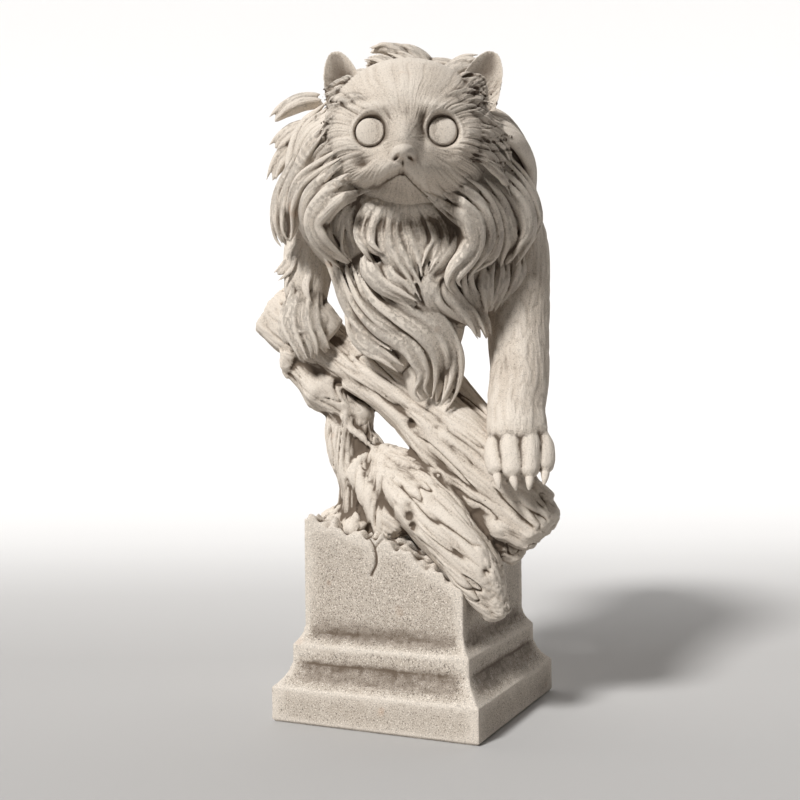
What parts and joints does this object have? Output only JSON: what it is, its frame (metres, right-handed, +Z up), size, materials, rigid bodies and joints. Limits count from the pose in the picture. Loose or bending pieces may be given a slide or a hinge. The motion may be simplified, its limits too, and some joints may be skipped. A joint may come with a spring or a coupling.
{
  "type": "cat figurine",
  "caption": "Long-haired cat treading down a driftwood log, cast in one with a square moulded plinth whose top is broken like rock.",
  "frame": {"origin": "centre of the square plinth's flat underside", "axes": "+Z up, -Y out of the plinth's front face, +X to the right of someone facing that face; the cat looks past the front right corner, 24.2 degrees from -Y towards +X"},
  "size_m": [0.161, 0.1682, 0.3136],
  "materials": {
    "cast_stone": "matt cream sandstone-like cast resin with grey-brown speckles and a brown wash in its hollows"
  },
  "bodies": {
    "root": {"cat_figurine": "cast_stone"}
  },
  "joints": []
}
